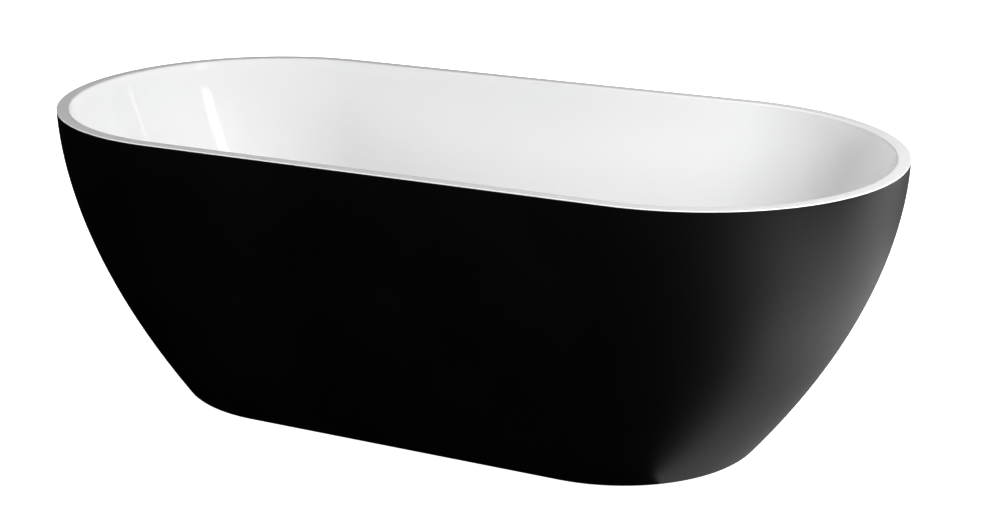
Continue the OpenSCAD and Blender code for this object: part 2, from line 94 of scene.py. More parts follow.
def noise(nt, vector, scale, detail=3.0, rough=0.5):
    n = nt.nodes.new("ShaderNodeTexNoise")
    n.inputs["Scale"].default_value = scale
    n.inputs["Detail"].default_value = detail
    n.inputs["Roughness"].default_value = rough
    nt.links.new(vector, n.inputs["Vector"])
    return n.outputs["Fac"]


def spread(nt, value, low, high, from_low=0.3, from_high=0.7):
    n = nt.nodes.new("ShaderNodeMapRange")
    n.inputs["From Min"].default_value = from_low
    n.inputs["From Max"].default_value = from_high
    n.inputs["To Min"].default_value = low
    n.inputs["To Max"].default_value = high
    nt.links.new(value, n.inputs["Value"])
    return n.outputs["Result"]


def two_tone(nt, value, a, b, low=0.35, high=0.65):
    n = nt.nodes.new("ShaderNodeValToRGB")
    n.color_ramp.elements[0].position = low
    n.color_ramp.elements[0].color = (*a, 1)
    n.color_ramp.elements[1].position = high
    n.color_ramp.elements[1].color = (*b, 1)
    nt.links.new(value, n.inputs["Fac"])
    return n.outputs["Color"]


def bumped(nt, value, distance, onto=None):
    n = nt.nodes.new("ShaderNodeBump")
    n.inputs["Distance"].default_value = distance
    n.inputs["Strength"].default_value = 1.0
    nt.links.new(value, n.inputs["Height"])
    if onto is not None:
        nt.links.new(onto, n.inputs["Normal"])
    return n.outputs["Normal"]


def surface(name, tones, roughness, metallic=0.0, tone_scale=30.0, rough_scale=60.0,
            bump=None, stretch=None):
    """A procedural finish: two tones mixed by noise, roughness that varies, and a fine relief.

    bump is a list of (noise scale, height in metres). stretch draws the noise out, as in drawn metal.
    """
    m, nt, bsdf, vec = nodes_of(name)
    if stretch:
        vec = stretched(nt, vec, stretch)
    bsdf.inputs["Metallic"].default_value = metallic
    bsdf.inputs["IOR"].default_value = ACRYLIC_IOR
    nt.links.new(two_tone(nt, noise(nt, vec, tone_scale, 4.0), *tones), bsdf.inputs["Base Color"])
    nt.links.new(spread(nt, noise(nt, vec, rough_scale, 4.0), *roughness), bsdf.inputs["Roughness"])
    normal = None
    for scale, height in bump or ():
        normal = bumped(nt, noise(nt, vec, scale, 2.0), height, normal)
    if normal is not None:
        nt.links.new(normal, bsdf.inputs["Normal"])
    return m


def gloss_acrylic():
    """Polished white acrylic: nearly even, with a faint swell and orange peel."""
    m, nt, bsdf, vec = nodes_of("acrylic_white_gloss")
    bsdf.inputs["IOR"].default_value = ACRYLIC_IOR
    cloud = noise(nt, vec, scale=3.0, detail=2.0)
    nt.links.new(two_tone(nt, cloud, (0.895, 0.90, 0.90), (0.915, 0.915, 0.915)), bsdf.inputs["Base Color"])
    haze = noise(nt, stretched(nt, vec, (1.0, 1.0, 6.0)), scale=140.0, detail=5.0, rough=0.65)
    nt.links.new(spread(nt, haze, 0.05, 0.10), bsdf.inputs["Roughness"])
    swell = bumped(nt, noise(nt, vec, scale=9.0, detail=1.0), distance=0.00022)
    peel = bumped(nt, noise(nt, vec, scale=420.0, detail=2.0), distance=0.000006, onto=swell)
    nt.links.new(peel, bsdf.inputs["Normal"])
    return m


def satin_black():
    """Black acrylic with a fine-grained satin face."""
    m, nt, bsdf, vec = nodes_of("acrylic_black_satin")
    bsdf.inputs["IOR"].default_value = ACRYLIC_IOR
    cloud = noise(nt, vec, scale=5.0, detail=3.0)
    nt.links.new(two_tone(nt, cloud, (0.0002, 0.00025, 0.0004), (0.0005, 0.0006, 0.0009)),
                 bsdf.inputs["Base Color"])
    mottle = noise(nt, vec, scale=260.0, detail=4.0, rough=0.6)
    nt.links.new(spread(nt, mottle, 0.50, 0.56), bsdf.inputs["Roughness"])
    swell = bumped(nt, noise(nt, vec, scale=7.0, detail=1.0), distance=0.00015)
    grain = bumped(nt, noise(nt, vec, scale=1500.0, detail=2.0), distance=0.000012, onto=swell)
    nt.links.new(grain, bsdf.inputs["Normal"])
    return m


def plywood():
    """Grain along X on the faces, and dark glue lines between the plies on the edges."""
    ply_pair = 0.0016
    m, nt, bsdf, vec = nodes_of("plywood")
    grain = noise(nt, stretched(nt, vec, (1.2, 18.0, 18.0)), scale=14.0, detail=6.0, rough=0.6)
    face = two_tone(nt, grain, (0.40, 0.26, 0.13), (0.62, 0.45, 0.27), 0.3, 0.7)
    sep = nt.nodes.new("ShaderNodeSeparateXYZ")
    nt.links.new(vec, sep.inputs[0])
    wave = nt.nodes.new("ShaderNodeMath")
    wave.operation = "PINGPONG"
    nt.links.new(sep.outputs["Z"], wave.inputs[0])
    wave.inputs[1].default_value = ply_pair
    layers = spread(nt, wave.outputs[0], 0.0, 1.0, 0.0003, 0.0012)
    edge = nt.nodes.new("ShaderNodeMix")
    edge.data_type = "RGBA"
    nt.links.new(layers, edge.inputs["Factor"])
    edge.inputs["A"].default_value = (0.26, 0.16, 0.08, 1)
    nt.links.new(face, edge.inputs["B"])
    geo = nt.nodes.new("ShaderNodeNewGeometry")
    up = nt.nodes.new("ShaderNodeSeparateXYZ")
    nt.links.new(geo.outputs["Normal"], up.inputs[0])
    flat = nt.nodes.new("ShaderNodeMath")
    flat.operation = "ABSOLUTE"
    nt.links.new(up.outputs["Z"], flat.inputs[0])
    pick = nt.nodes.new("ShaderNodeMix")
    pick.data_type = "RGBA"
    nt.links.new(spread(nt, flat.outputs[0], 0.0, 1.0, 0.4, 0.6), pick.inputs["Factor"])
    nt.links.new(edge.outputs["Result"], pick.inputs["A"])
    nt.links.new(face, pick.inputs["B"])
    nt.links.new(pick.outputs["Result"], bsdf.inputs["Base Color"])
    nt.links.new(spread(nt, grain, 0.6, 0.8), bsdf.inputs["Roughness"])
    nt.links.new(bumped(nt, grain, distance=0.0002), bsdf.inputs["Normal"])
    return m


def galvanised():
    """Hot-dip zinc with its spangle."""
    m, nt, bsdf, vec = nodes_of("galvanised_steel")
    cell = nt.nodes.new("ShaderNodeTexVoronoi")
    cell.inputs["Scale"].default_value = 130.0
    nt.links.new(vec, cell.inputs["Vector"])
    grey = nt.nodes.new("ShaderNodeSeparateColor")
    nt.links.new(cell.outputs["Color"], grey.inputs[0])
    nt.links.new(two_tone(nt, grey.outputs[0], (0.42, 0.44, 0.46), (0.62, 0.64, 0.66), 0.0, 1.0),
                 bsdf.inputs["Base Color"])
    nt.links.new(spread(nt, grey.outputs[1], 0.32, 0.5, 0.0, 1.0), bsdf.inputs["Roughness"])
    bsdf.inputs["Metallic"].default_value = 0.9
    nt.links.new(bumped(nt, noise(nt, vec, scale=500.0, detail=3.0), distance=0.00004), bsdf.inputs["Normal"])
    return m


white_gloss = gloss_acrylic()
black_satin = satin_black()
ply = plywood()
galv = galvanised()
zinc_yellow = surface("zinc_yellow", ((0.55, 0.45, 0.20), (0.68, 0.60, 0.36)), (0.28, 0.42), 1.0, 90.0,
                      bump=[(900.0, 0.00002)])
zinc_bright = surface("zinc_bright", ((0.56, 0.57, 0.60), (0.70, 0.71, 0.73)), (0.22, 0.36), 1.0, 120.0,
                      bump=[(1200.0, 0.00002)])
spring_steel = surface("steel_drawn", ((0.52, 0.53, 0.55), (0.66, 0.67, 0.68)), (0.22, 0.34), 1.0, 60.0,
                       bump=[(1500.0, 0.00001)])
band_steel = surface("steel_band", ((0.55, 0.56, 0.58), (0.68, 0.69, 0.70)), (0.2, 0.35), 1.0, 80.0,
                     stretch=(1.0, 1.0, 12.0), bump=[(400.0, 0.00001)])
chrome = surface("chrome", ((0.74, 0.75, 0.77), (0.80, 0.81, 0.83)), (0.04, 0.08), 1.0, 20.0,
                 rough_scale=250.0, bump=[(60.0, 0.000004)])
brass = surface("brass_machined", ((0.62, 0.44, 0.16), (0.74, 0.56, 0.26)), (0.2, 0.34), 1.0, 50.0,
                stretch=(1.0, 1.0, 30.0), bump=[(300.0, 0.00001)])
rubber = surface("rubber_black", ((0.012, 0.012, 0.012), (0.028, 0.028, 0.027)), (0.62, 0.8), 0.0, 80.0,
                 bump=[(1600.0, 0.00002)])
silicone = surface("silicone_clear_white", ((0.72, 0.72, 0.70), (0.82, 0.82, 0.80)), (0.4, 0.55), 0.0, 60.0,
                   bump=[(900.0, 0.00001)])
nylon = surface("nylon_black", ((0.014, 0.014, 0.015), (0.026, 0.026, 0.027)), (0.42, 0.56), 0.0, 70.0,
                bump=[(1100.0, 0.00003)])
plastic_white = surface("polypropylene_white", ((0.70, 0.70, 0.68), (0.78, 0.78, 0.76)), (0.32, 0.44),
                        0.0, 25.0, bump=[(700.0, 0.00002), (40.0, 0.00008)])
plastic_grey = surface("polypropylene_grey", ((0.42, 0.43, 0.43), (0.50, 0.51, 0.51)), (0.34, 0.46),
                       0.0, 25.0, bump=[(700.0, 0.00002)])
plastic_hose = surface("polyethylene_hose", ((0.60, 0.61, 0.60), (0.68, 0.69, 0.68)), (0.3, 0.42), 0.0, 35.0,
                       bump=[(800.0, 0.00001)])

FINISH = {
    "plywood": ply, "galvanised_tube": galv, "bracket_steel": galv, "zinc_screw": zinc_yellow,
    "zinc_nut": zinc_bright, "zinc_stud": zinc_bright, "black_nylon": nylon, "chrome_brass": chrome,
    "silicone_white": silicone, "black_rubber": rubber, "white_pp": plastic_white, "grey_pp": plastic_grey,
    "hose_pp": plastic_hose, "brass": brass, "spring_steel": spring_steel, "clip_steel": band_steel,
    "outer_acrylic": black_satin, "inner_acrylic": white_gloss,
}
for part in frame["record"]["subparts"]:
    obj = frame["nodes"][part["node"]]
    obj.data.materials.clear()
    obj.data.materials.append(FINISH[part["material_slot"]])


# ---------------------------------------------------------------- mesh helpers
MM = 0.001


def to_object(name, verts, faces, material, smooth=True, sharp=None):
    """A new object. sharp is the angle in degrees above which an edge stays crisp."""
    mesh = bpy.data.meshes.new(name)
    mesh.from_pydata([tuple(v) for v in verts], [], faces)
    mesh.update()
    mesh.polygons.foreach_set("use_smooth", [smooth] * len(mesh.polygons))
    if sharp is not None:
        mesh.set_sharp_from_angle(angle=math.radians(sharp))
    mesh.materials.append(material)
    o = bpy.data.objects.new(name, mesh)
    scene.collection.objects.link(o)
    return o


def loft(rings, close=True):
    """Quads between rings of points, each ring closed. With close, the last ring joins the first."""
    rings = [np.asarray(r, float) for r in rings]
    n, m = len(rings[0]), len(rings)
    verts = np.concatenate(rings)
    faces = []
    for i in range(m if close else m - 1):
        a, b = i * n, (i + 1) % m * n
        faces += [(a + j, a + (j + 1) % n, b + (j + 1) % n, b + j) for j in range(n)]
    return verts, faces


def capped(rings):
    """A solid between rings of points, closed by a flat face at each end."""
    verts, faces = loft(rings, close=False)
    n = len(rings[0])
    faces.append(tuple(range(n - 1, -1, -1)))
    faces.append(tuple(range((len(rings) - 1) * n, len(rings) * n)))
    return verts, faces


def facing_out(o):
    bm = bmesh.new()
    bm.from_mesh(o.data)
    bmesh.ops.recalc_face_normals(bm, faces=bm.faces)
    bm.to_mesh(o.data)
    bm.free()
    return o


def round_outline(r, z, steps, x=0.0, y=0.0):
    """A level circle of points. r may be a list of radii, one for each point."""
    a = np.linspace(0, 2 * math.pi, steps, endpoint=False)
    return np.stack([x + r * np.cos(a), y + r * np.sin(a), np.full(steps, float(z))], 1) * MM


def cut_out(o, cutters):
    """Takes the cutters away from o, and removes them."""
    for cutter in cutters:
        step = o.modifiers.new("cut", "BOOLEAN")
        step.operation = "DIFFERENCE"
        step.solver = "EXACT"
        step.object = cutter
    bpy.context.view_layer.update()
    done = bpy.data.meshes.new_from_object(o.evaluated_get(bpy.context.evaluated_depsgraph_get()))
    o.modifiers.clear()
    o.data = done
    for cutter in cutters:
        bpy.data.objects.remove(cutter)
    return o


def one_material(o, material, sharp):
    """After a cut: a single material again, and crisp edges above the angle."""
    o.data.set_sharp_from_angle(angle=math.radians(sharp))
    o.data.materials.clear()
    o.data.materials.append(material)


# ---------------------------------------------------------------- the two skins
# Dimensions are in millimetres. Those in capitals that no box gives are the CAD's own.
rim_low, rim_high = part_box("inner_shell")
TUB_L, TUB_W, TUB_H = (rim_high.x - rim_low.x) / MM, (rim_high.y - rim_low.y) / MM, rim_high.z / MM
SKIN_LOW, SKIN_TOP = skin_low.z / MM, skin_high.z / MM
FOOT_L, FOOT_W, END_FLARE, SIDE_FLARE = 1210.0, 560.0, 1.85, 2.0
SKIN_T, TOE_W, TOE_TOP, TOE_EDGE = 5.0, 30.0, SKIN_LOW + 5.0, 0.6
BOND_W, BOND_T, LIP_IN, LIP_GAP = 12.0, 4.0, 5.3, 0.05
RIM_W, RIM_OUT, RIM_IN = 21.0, 1.5, 4.0
BASIN_T, DEPTH, FLAT_L, FLAT_W = 5.0, 446.0, 960.0, 300.0
WALL_POWER, COVE_POWER = 1.3, 1.85
BOND_TOP = TUB_H - BASIN_T
FLOOR = TUB_H - DEPTH
SEAT, RECESS = FLOOR - 4.0, FLOOR - 8.0
UNDER, BOSS = FLOOR - 9.0, RECESS - BASIN_T
WASTE_R, BOSS_R = 26.0, 48.0
BASIN_L, BASIN_W = TUB_L - 2 * (RIM_W + RIM_IN), TUB_W - 2 * (RIM_W + RIM_IN)
SHARP = 35

# Rounded edges, as (distance from the edge's level, distance in from its face).
FOOT_EDGE = [(0.0, 1.6), (0.1, 0.9), (0.45, 0.3), (1.1, 0.03)]
TOP_EDGE = [(0.3, 0.06), (0.08, 0.2), (0.0, 0.5)]
FOOT_EDGE_H, TOP_EDGE_H = 2.2, 0.6
# Where the basin's floor turns down to the waste's seat and then to the recess: (radius, height above each).
SEAT_EDGE = [(50.0, 0.0), (47.6, -0.05), (46.2, -0.4), (45.0, -1.4)]
RECESS_EDGE = [(44.0, 1.4), (43.2, 0.4), (42.2, 0.0), (WASTE_R, 0.0)]

# Round the outline: the two ends by angle, and the two straights by fraction, closer near the overflow.
END = np.radians(np.linspace(-90, 90, 97))
BACK = np.linspace(1, -1, 34)[1:-1]
FRONT = np.unique(np.concatenate([np.linspace(-1, 1, 34)[1:-1], np.linspace(-0.15, 0.15, 41)]))


def stadium(l, w, z):
    """A level outline with two straight sides and two half-round ends."""
    h, r = (l - w) / 2, w / 2
    x = np.concatenate([h + r * np.cos(END), h * BACK, -h - r * np.cos(END), h * FRONT])
    y = np.concatenate([r * np.sin(END), np.full(len(BACK), r), -r * np.sin(END), np.full(len(FRONT), -r)])
    return np.stack([x, y, np.full(len(x), float(z))], 1) * MM


def round_ring(r, z):
    """A level circle whose points lie in the same directions as the basin floor's."""
    flat = stadium(FLAT_L, FLAT_W, 0)
    a = np.arctan2(flat[:, 1], flat[:, 0])
    return np.stack([r * np.cos(a), r * np.sin(a), np.full(len(a), float(z))], 1) * MM


def skin_size(z):
    """The black skin's outside length and width at a height."""
    s = min(max((z - SKIN_LOW) / (SKIN_TOP - SKIN_LOW), 0.0), 1.0)
    return (FOOT_L + (TUB_L - FOOT_L) * (1 - (1 - s) ** END_FLARE),
            FOOT_W + (TUB_W - FOOT_W) * (1 - (1 - s) ** SIDE_FLARE))


def skin(z, inset=0.0):
    l, w = skin_size(z)
    return stadium(l - 2 * inset, w - 2 * inset, z)


def outer_rings():
    """Round the skin's section: up the outside, over the top, down the inside and in along the toe flange."""
    rings = [skin(SKIN_LOW + up, inset) for up, inset in FOOT_EDGE]
    rings += [skin(z) for z in np.linspace(SKIN_LOW + FOOT_EDGE_H, SKIN_TOP - TOP_EDGE_H, 90)]
    rings += [skin(SKIN_TOP - down, inset) for down, inset in TOP_EDGE]
    rings += [skin(SKIN_TOP, SKIN_T), skin(BOND_TOP, SKIN_T), skin(BOND_TOP, SKIN_T + BOND_W)]
    rings += [skin(BOND_TOP - BOND_T, SKIN_T + BOND_W)]
    rings += [skin(z, SKIN_T) for z in np.linspace(BOND_TOP - BOND_T, TOE_TOP, 40)]
    rings += [skin(TOE_TOP, TOE_W - TOE_EDGE), skin(TOE_TOP - TOE_EDGE, TOE_W)]
    return rings + [skin(SKIN_LOW + TOE_EDGE, TOE_W), skin(SKIN_LOW, TOE_W - TOE_EDGE)]


def cove(a, flat, rim_size):
    """A length or width of the basin at an angle down its wall: 0 at the rim, a right angle at the floor."""
    return flat + (rim_size - flat) * max(math.cos(a), 0.0) ** (2 / COVE_POWER)


def drop(a):
    return math.sin(a) ** (2 / WALL_POWER)


def wet(a):
    z = TUB_H - RIM_IN - (DEPTH - RIM_IN) * drop(a)
    return stadium(cove(a, FLAT_L, BASIN_L), cove(a, FLAT_W, BASIN_W), z)


def back(a):
    z = BOND_TOP - (BOND_TOP - UNDER) * drop(a)
    return stadium(cove(a, FLAT_L, BASIN_L) + 2 * BASIN_T, cove(a, FLAT_W, BASIN_W) + 2 * BASIN_T, z)


def half_width(fraction_down):
    """Half the basin's width, by how far down its wall from the rim to the floor."""
    widening = (1 - fraction_down ** WALL_POWER) ** (1 / COVE_POWER)
    return (FLAT_W + (BASIN_W - FLAT_W) * widening) / 2


def rim(inset, z):
    return stadium(TUB_L - 2 * inset, TUB_W - 2 * inset, z)


def between(first, last, steps):
    """Rings evenly between two rings, without the two themselves."""
    return [first * (1 - v) + last * v for v in np.linspace(0, 1, steps)[1:-1]]


def basin_rings():
    """Round the basin's section: out under its floor, up the back, over the rim, and down the wet side."""
    quarter = np.radians(np.linspace(0, 90, 9))
    # The wall's rings are closer together where the overflow's slot is.
    wall = np.unique(np.concatenate([np.linspace(0, 90, 85), np.linspace(12.6, 20.8, 25)]))
    under, floor_back, floor_wet = round_ring(BOSS_R, UNDER), back(math.pi / 2), wet(math.pi / 2)
    seat = [round_ring(r, SEAT + up) for r, up in SEAT_EDGE]
    seat += [round_ring(r, RECESS + up) for r, up in RECESS_EDGE]
    lip = SKIN_TOP + LIP_GAP
    rings = [round_ring(WASTE_R, BOSS), round_ring(BOSS_R, BOSS), under] + between(under, floor_back, 8)
    rings += [back(math.radians(a)) for a in np.linspace(90, 0, 46)]
    rings += [rim(LIP_IN, BOND_TOP), rim(LIP_IN, lip), rim(0.5, lip), rim(0.12, SKIN_TOP + 0.14)]
    rings += [rim(RIM_OUT * (1 - math.cos(a)), TUB_H - RIM_OUT * (1 - math.sin(a))) for a in quarter]
    rings += [rim(v, TUB_H) for v in (6.0, 11.0, 16.0)]
    rings += [rim(RIM_W + RIM_IN * math.sin(a), TUB_H - RIM_IN * (1 - math.cos(a))) for a in quarter]
    rings += [wet(math.radians(a)) for a in wall[1:]]
    return rings + between(floor_wet, seat[0], 14) + seat


# The steel frame under the bath, and the screws through its brackets.
TUBE_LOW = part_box("end_crossbar_left")[0].z / MM
BAR_X, RAIL_Y = 430.0, 132.0
TAB_Y, TOE_SCREW_Y, BRACKET_T = 212.0, 237.0, 3.0
SIGNS = [(x, y) for x in (-1, 1) for y in (-1, 1)]
HOLE_R = 2.1


def toe_hole(x, y):
    """A plug through the toe flange and 1 mm beyond."""
    rings = [round_outline(HOLE_R, z, 16, x, y) for z in (SKIN_LOW - 1.0, TOE_TOP + 1.0)]
    return facing_out(to_object("toe_hole", *capped(rings), black_satin))


shell = facing_out(to_object("outer_shell_skin", *loft(outer_rings()), black_satin, sharp=SHARP))
cut_out(shell, [toe_hole(x * BAR_X, y * TOE_SCREW_Y) for x, y in SIGNS])
one_material(shell, black_satin, SHARP)
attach(shell, "tub")
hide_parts("outer_shell")

# The overflow's slot is cut square to the basin's wall.
OVERFLOW_Z, SLOT_L, SLOT_H, SLOT_REACH, TILT_SPAN = 500.0, 90.0, 15.0, 16.0, 10.0


def wet_half(z):
    return half_width((TUB_H - RIM_IN - z) / (DEPTH - RIM_IN))


LEAN = (wet_half(OVERFLOW_Z + TILT_SPAN) - wet_half(OVERFLOW_Z - TILT_SPAN)) / (2 * TILT_SPAN)
# X along the wall, Y up the wall and Z out into the bath.
AT_OVERFLOW = (Matrix.Translation((0, -wet_half(OVERFLOW_Z) * MM, OVERFLOW_Z * MM))
               @ Matrix.Rotation(math.pi, 4, "Z")
               @ Matrix.Rotation(math.pi / 2 - math.atan(LEAN), 4, "X"))


def slot_ring(z, steps=24):
    half, r = (SLOT_L - SLOT_H) / 2, SLOT_H / 2
    a = np.radians(np.linspace(-90, 90, steps))
    x = np.concatenate([half + r * np.cos(a), -half - r * np.cos(a)])
    y = np.concatenate([r * np.sin(a), -r * np.sin(a)])
    return np.stack([x, y, np.full(len(x), z)], 1) * MM


basin = facing_out(to_object("basin", *loft(basin_rings()), white_gloss, sharp=SHARP))
slot_rings = [slot_ring(-SLOT_REACH), slot_ring(SLOT_REACH)]
overflow_slot = facing_out(to_object("overflow_slot", *capped(slot_rings), white_gloss))
overflow_slot.data.transform(AT_OVERFLOW)
cut_out(basin, [overflow_slot])
one_material(basin, white_gloss, SHARP)
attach(basin, "tub")
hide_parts("inner_shell")


# ---------------------------------------------------------------- parts with their edges broken
BODIES = frame["record"]["behaviour"]["bodies"]
SLOTS = {part["node"]: part["material_slot"] for part in frame["record"]["subparts"]}


def stands_for(o, node):
    """Rides on the node's body, and is shown in its place."""
    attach(o, next(body for body, members in BODIES.items() if node in members))
    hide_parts(node)
    return o


WELD, FLAT_ANGLE, EDGE_ANGLE, SHADE_ANGLE = 1e-6, 1, 28, 32


def softened(node, width, segments=2, only=None):
    """The node's own shape, with its flat faces made whole again and its sharp edges rounded by width."""
    mesh = frame["nodes"][node].data.copy()
    o = bpy.data.objects.new(node + "_finished", mesh)
    scene.collection.objects.link(o)
    bm = bmesh.new()
    bm.from_mesh(mesh)
    bmesh.ops.remove_doubles(bm, verts=bm.verts, dist=WELD)
    bmesh.ops.dissolve_limit(bm, angle_limit=math.radians(FLAT_ANGLE), verts=bm.verts, edges=bm.edges,
                             delimit={"NORMAL"})
    sharp = [e for e in bm.edges if e.calc_face_angle(0) > math.radians(EDGE_ANGLE)]
    bmesh.ops.bevel(bm, geom=[e for e in sharp if only is None or only(e)], offset=width, segments=segments,
                    profile=0.5, affect="EDGES", clamp_overlap=True)
    bm.to_mesh(mesh)
    bm.free()
    mesh.polygons.foreach_set("use_smooth", [True] * len(mesh.polygons))
    mesh.set_sharp_from_angle(angle=math.radians(SHADE_ANGLE))
    return stands_for(o, node)


def runs_along(edge):
    """A tube's long edges are rounded, and its sawn ends and drilled holes are not."""
    return edge.calc_length() > 0.1


for name in SLOTS:
    if SLOTS[name] == "galvanised_tube":
        softened(name, 0.002, 4, runs_along)

# Widths in metres.
BROKEN_EDGES = {
    0.0012: ["base_board"],
    0.0006: ["trap_body", "trap_inlet_nut", "trap_outlet_nut", "overflow_body", "waste_tee", "overflow_trim",
             "foot_pad_1", "foot_pad_2", "foot_pad_3", "foot_pad_4"],
    0.0004: ["skirt_brackets", "foot_weld_nuts", "foot_lock_nuts", "waste_washer_bottom", "overflow_gasket"],
    0.0003: ["waste_flange", "waste_washer_top", "trap_washers", "plug_cap", "click_cartridge", "plug_seal"],
}
for width, names in BROKEN_EDGES.items():
    for name in names:
        softened(name, width)


# ---------------------------------------------------------------- threads, screws and the ribbed hose
# Two rings this far apart make a sharp shoulder.
SHOULDER = 0.01
ROOT_SHARE, FLANK_SHARE = 0.2, 0.65
STUD_R, STUD_PITCH, STUD_THREAD, STUD_CHAMFER, STUD_SPARE = 6.0, 1.75, 1.07, 1.0, 0.4
PIN_R, PIN_CHAMFER, NECK = 5.0, 0.8, 0.5
SCREW_SHARP = 30
HEX_LOW, HEX_HIGH, HEX_FLATS, HEX_CHAMFER, CORNER_CUT, CORNER_SLOPE = 0.1, 6.0, 17.3, 0.8, 0.5, 1.7


def turned(levels, radius_at, steps):
    """A solid round the Z axis whose radius is a function of angle and height. Millimetres."""
    angle = np.linspace(0, 2 * math.pi, steps, endpoint=False)
    return capped([round_outline(radius_at(angle, z), z, steps) for z in levels])


def thread(angle, z, crest, depth, pitch):
    """A right-hand thread's radius: flat crests, flat roots and straight flanks."""
    turn = (z / pitch - angle / (2 * math.pi)) % 1
    flank = np.clip((1 - np.abs(2 * turn - 1) - ROOT_SHARE) / FLANK_SHARE, 0, 1)
    return crest - depth * (1 - flank)


def hexagon(angle, across_flats):
    return across_flats / 2 / np.cos(angle % (math.pi / 3) - math.pi / 6)


def stud_radius(low, hex_low, hex_high, top):
    """From the bottom: the pin in the pad, the hexagon with its corners turned off, a neck and the thread."""
    def radius(angle, z):
        if z < hex_low:
            return np.full(len(angle), PIN_R - max(0.0, low + PIN_CHAMFER - z))
        if z <= hex_high:
            edge = max(min(z - hex_low, hex_high - z), 0.0)
            return np.minimum(hexagon(angle, HEX_FLATS), HEX_FLATS / 2 + CORNER_CUT + edge * CORNER_SLOPE)
        core = STUD_R - STUD_THREAD
        if z < hex_high + NECK:
            return np.full(len(angle), core)
        crest = STUD_R - max(0.0, z - top + STUD_CHAMFER)
        return np.maximum(core - STUD_SPARE, thread(angle, z, crest, STUD_THREAD, STUD_PITCH))
    return radius


def threaded_stud(number):
    node, pad = f"foot_stud_{number}", f"foot_pad_{number}"
    low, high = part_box(node)
    pad_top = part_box(pad)[1].z / MM
    bottom, top = low.z / MM, high.z / MM
    hex_low, hex_high = pad_top + HEX_LOW, pad_top + HEX_HIGH
    levels = [bottom, bottom + PIN_CHAMFER, hex_low - SHOULDER]
    levels += [hex_low + up for up in (0.0, HEX_CHAMFER / 2, HEX_CHAMFER)]
    levels += [hex_high - down for down in (HEX_CHAMFER, HEX_CHAMFER / 2, 0.0)]
    levels += list(np.arange(hex_high + SHOULDER, top, STUD_PITCH / 6)) + [top]
    verts, faces = turned(levels, stud_radius(bottom, hex_low, hex_high, top), 48)
    o = facing_out(to_object(node + "_threaded", verts, faces, zinc_bright, sharp=SCREW_SHARP))
    o.data.transform(Matrix.Translation(((low.x + high.x) / 2, (low.y + high.y) / 2, 0)))
    return stands_for(o, node)


for number in range(1, 5):
    threaded_stud(number)


SCREW_R, SCREW_THREAD, SCREW_PITCH, SCREW_TIP, TIP_SHARE = 2.0, 0.45, 1.4, 2.0, 0.25
HEAD_EDGE, HEAD_TOP_R = 0.3, 0.3
CROSS_TAPER, CROSS_LOW, CROSS_HIGH, CROSS_ABOVE = 0.62, 0.3, 0.42, 0.2


def cross_cutter(reach, depth, top):
    """A plus-shaped plug that narrows downward, for a screwdriver's recess."""
    def outline(size, half, z):
        corner = [(size, half), (half, half), (half, size)]
        points = []
        for turn in range(4):
            c, s = math.cos(turn * math.pi / 2), math.sin(turn * math.pi / 2)
            points += [(c * x - s * y, s * x + c * y, z) for x, y in corner]
        return np.array(points) * MM
    return capped([outline(reach * CROSS_TAPER, CROSS_LOW, top - depth),
                   outline(reach, CROSS_HIGH, top + CROSS_ABOVE)])


def pan_screw(head_r, head_h, length, material):
    """A cross-recess screw at the origin: head above z = 0, thread below. Dimensions in millimetres."""
    edge = HEAD_EDGE * head_h

    def radius(angle, z):
        if z < 0:
            taper = min(1.0, TIP_SHARE + (1 - TIP_SHARE) * (z + length) / SCREW_TIP)
            return thread(angle, z, SCREW_R * taper, SCREW_THREAD * taper, SCREW_PITCH)
        up = max(0.0, z - edge) / (head_h - edge)
        return np.full(len(angle), max(HEAD_TOP_R, head_r * math.sqrt(1 - up ** 2)))
    dome = edge + (head_h - edge) * np.sin(np.radians(np.linspace(0, 86, 9)))
    levels = list(np.arange(-length, -2 * SHOULDER, SCREW_PITCH / 5))
    levels += [-SHOULDER, 0.0, edge / 2] + list(dome)
    o = facing_out(to_object("screw", *turned(levels, radius, 24), material, sharp=SCREW_SHARP))
    cross = facing_out(to_object("cross", *cross_cutter(head_r / 2, head_h * 0.75, head_h), material))
    return cut_out(o, [cross])


def screw_group(node, material, kinds):
    """One object of several screws. kinds lists (head radius, head height, length, places)."""
    bm = bmesh.new()
    for head_r, head_h, length, places in kinds:
        one = pan_screw(head_r, head_h, length, material)
        for place in places:
            mesh = one.data.copy()
            mesh.transform(place)
            bm.from_mesh(mesh)
            bpy.data.meshes.remove(mesh)
        bpy.data.objects.remove(one)
    mesh = bpy.data.meshes.new(node + "_cross_head")
    bm.to_mesh(mesh)
    bm.free()
    mesh.materials.append(material)
    mesh.polygons.foreach_set("use_smooth", [True] * len(mesh.polygons))
    mesh.set_sharp_from_angle(angle=math.radians(SCREW_SHARP))
    o = bpy.data.objects.new(node + "_cross_head", mesh)
    scene.collection.objects.link(o)
    return stands_for(o, node)


def at(x, y, z, upside_down=False):
    """A place in millimetres."""
    flip = Matrix.Rotation(math.pi, 4, "X") if upside_down else Matrix.Identity(4)
    return Matrix.Translation((x * MM, y * MM, z * MM)) @ flip


screw_group("board_screws", zinc_yellow, [
    (4.8, 3.0, 34.8, [at(x, y * RAIL_Y, TUBE_LOW, True) for x in (-360, -240, 240, 360) for y in (-1, 1)])])
screw_group("bracket_screws", zinc_yellow, [
    (4.4, 2.6, 7.9, [at(x * BAR_X, y * TAB_Y, TUBE_LOW - BRACKET_T, True) for x, y in SIGNS]),
    (4.4, 2.6, 7.4, [at(x * BAR_X, y * TOE_SCREW_Y, TOE_TOP + BRACKET_T) for x, y in SIGNS])])
screw_group("overflow_screws", chrome, [
    (3.8, 1.6, 15.9, [AT_OVERFLOW @ at(s * 38.0, 0.0, 3.0) for s in (-1, 1)])])

